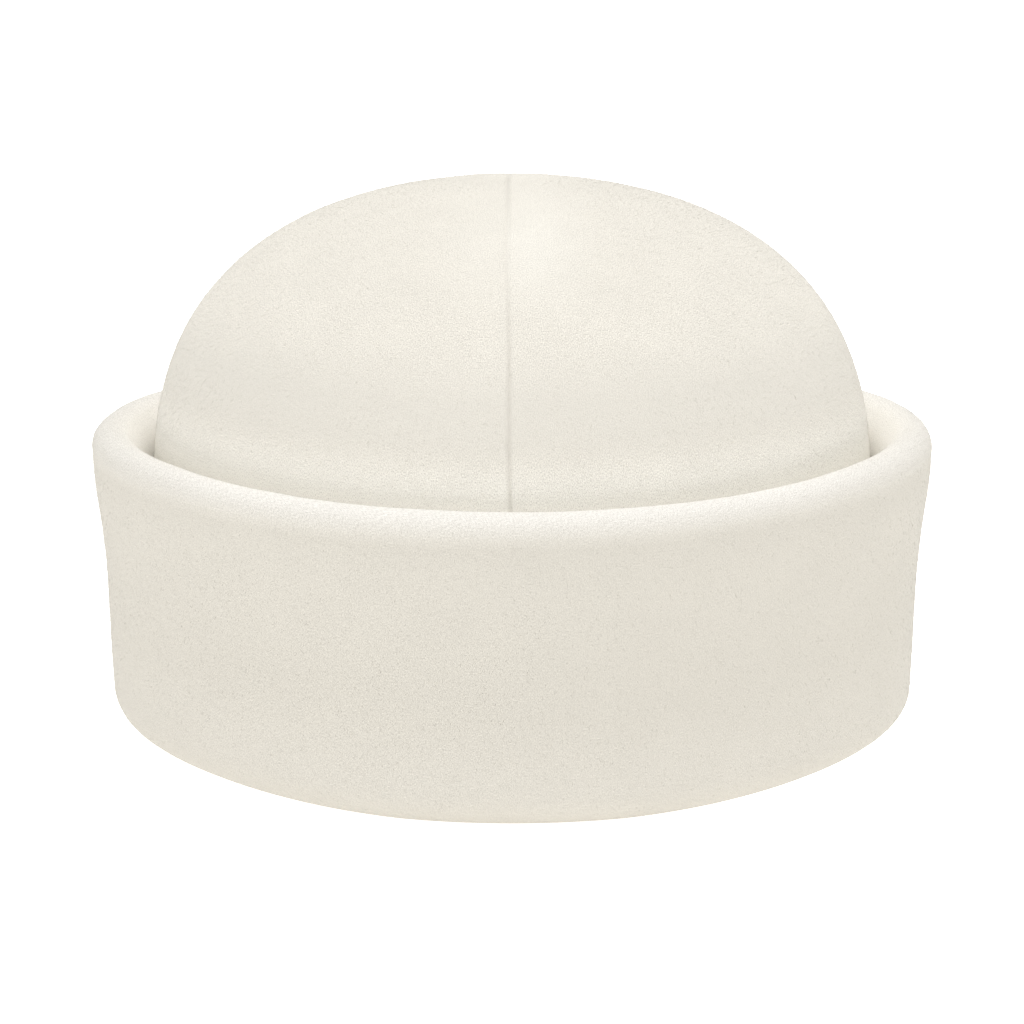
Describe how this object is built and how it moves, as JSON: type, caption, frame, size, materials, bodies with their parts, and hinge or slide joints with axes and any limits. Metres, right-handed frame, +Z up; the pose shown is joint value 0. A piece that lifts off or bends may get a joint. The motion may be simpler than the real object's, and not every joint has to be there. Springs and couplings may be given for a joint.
{
  "type": "brimless docker cap",
  "caption": "Brimless felt cap: a round crown of two panels, seamed from front to back, standing in a deep turned-up cuff.",
  "frame": {"origin": "the middle of the cap on the surface that it stands on", "axes": "+Z up, the front of the cap towards -Y, and +X towards the right of the picture"},
  "size_m": [0.207, 0.233, 0.1352],
  "materials": {
    "wool_crown": "short brushed wool nap, matt, warm cream white",
    "wool_cuff": "short brushed wool nap, matt, warm cream white"
  },
  "bodies": {
    "root": {"crown_left": "wool_crown", "crown_right": "wool_crown", "cuff": "wool_cuff"}
  },
  "joints": []
}
